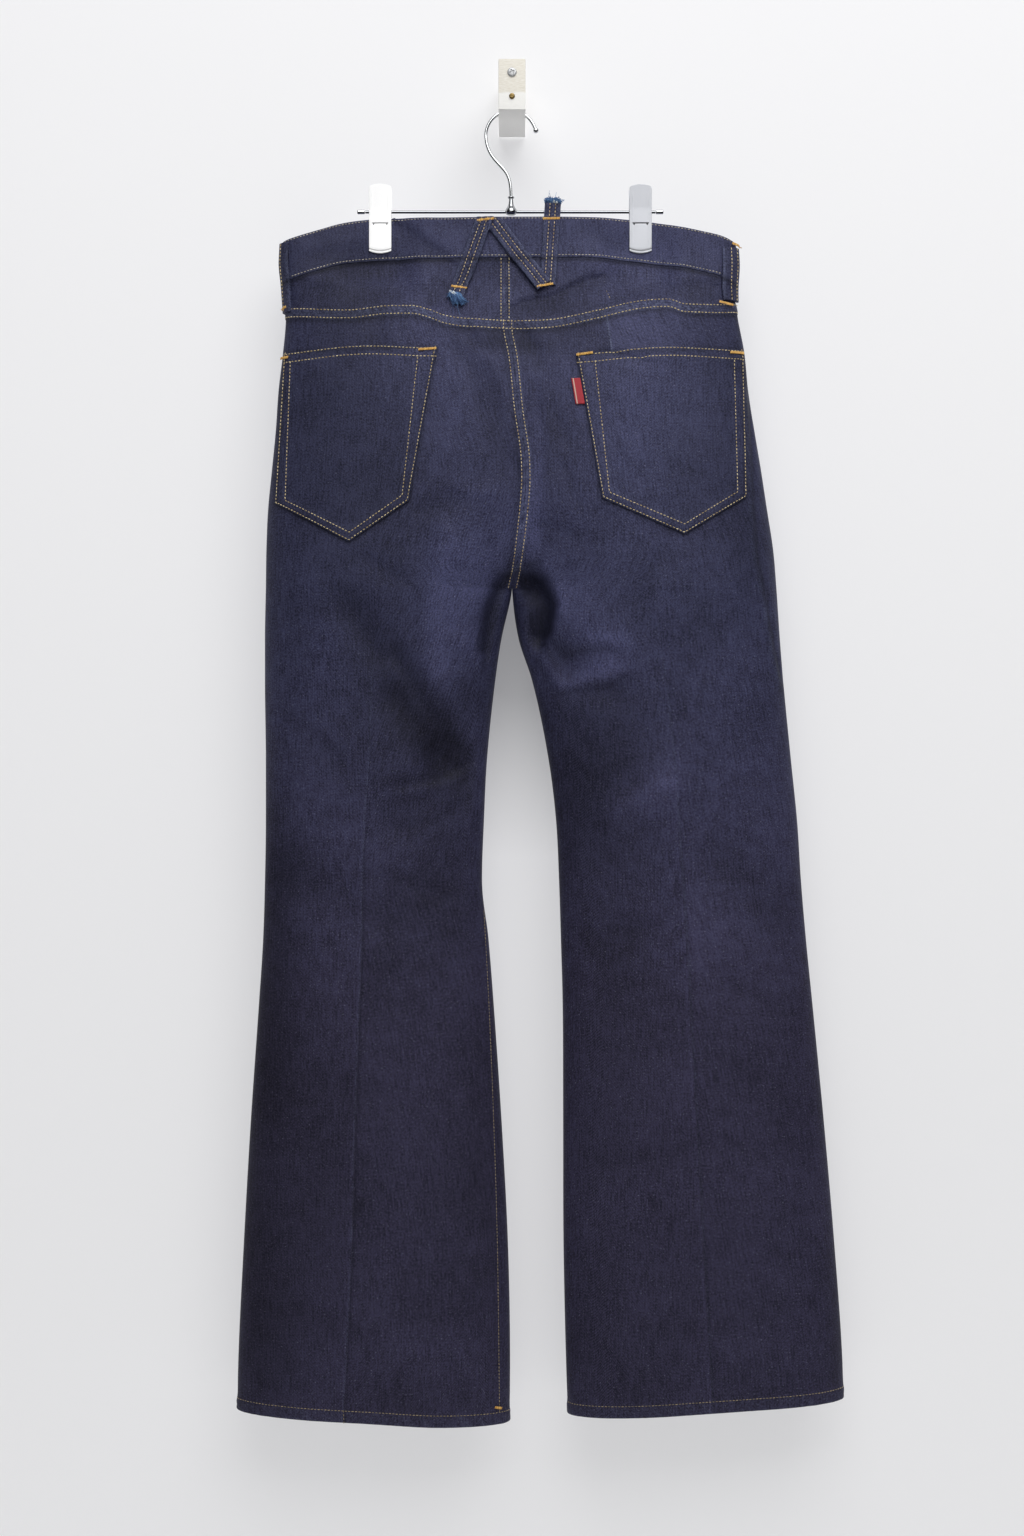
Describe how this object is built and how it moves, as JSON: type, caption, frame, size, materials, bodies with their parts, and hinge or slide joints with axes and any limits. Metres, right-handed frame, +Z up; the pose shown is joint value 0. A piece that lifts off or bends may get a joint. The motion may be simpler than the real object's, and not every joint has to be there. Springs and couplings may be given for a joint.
{
  "type": "flared jeans on a clip hanger and wall hook",
  "caption": "Dark indigo denim jeans with flared, seamed legs, patch pockets and a zigzag belt-loop strip, held by the waistband in a wire clip hanger on a slotted wall block.",
  "frame": {"origin": "middle of the wall block's flat face, where the part meets the wall", "axes": "+Y into the wall, +Z up, +X to the right as the back of the jeans is seen"},
  "size_m": [0.5466, 0.1026, 1.2154],
  "materials": {
    "indigo_denim": "raw dark indigo twill",
    "seam_thread": "ochre sewing thread",
    "frayed_thread": "loose indigo and white yarn",
    "red_tape": "woven tape",
    "hanger_steel": "bright plated",
    "clip_steel": "satin nickel plate",
    "screw_brass": "dull plated",
    "painted_wood": "cream-white wood"
  },
  "bodies": {
    "root": {"waistband": "indigo_denim", "yoke_left": "indigo_denim", "yoke_right": "indigo_denim", "back_inner_left": "indigo_denim", "back_outer_left": "indigo_denim", "back_inner_right": "indigo_denim", "back_outer_right": "indigo_denim", "front_left": "indigo_denim", "front_right": "indigo_denim", "fly_flap": "indigo_denim", "pocket_facing_left": "indigo_denim", "pocket_facing_right": "indigo_denim", "back_pocket_left": "indigo_denim", "back_pocket_right": "indigo_denim", "pocket_tab": "red_tape", "loop_strip_left_run": "indigo_denim", "loop_strip_cross_run": "indigo_denim", "loop_strip_right_run": "indigo_denim", "loop_side_left": "indigo_denim", "loop_side_right": "indigo_denim", "loop_front_left": "indigo_denim", "loop_front_right": "indigo_denim", "frayed_end_low": "frayed_thread", "frayed_end_high": "frayed_thread", "waist_button": "hanger_steel", "hanger_hook": "hanger_steel", "hanger_swivel": "hanger_steel", "hanger_bar": "hanger_steel", "bar_end_left": "hanger_steel", "bar_end_right": "hanger_steel", "clip_left_back_jaw": "clip_steel", "clip_left_front_jaw": "clip_steel", "clip_left_spring": "clip_steel", "clip_right_back_jaw": "clip_steel", "clip_right_front_jaw": "clip_steel", "clip_right_spring": "clip_steel", "wall_block": "painted_wood", "block_screw_upper": "hanger_steel", "block_screw_lower": "screw_brass"}
  },
  "joints": []
}
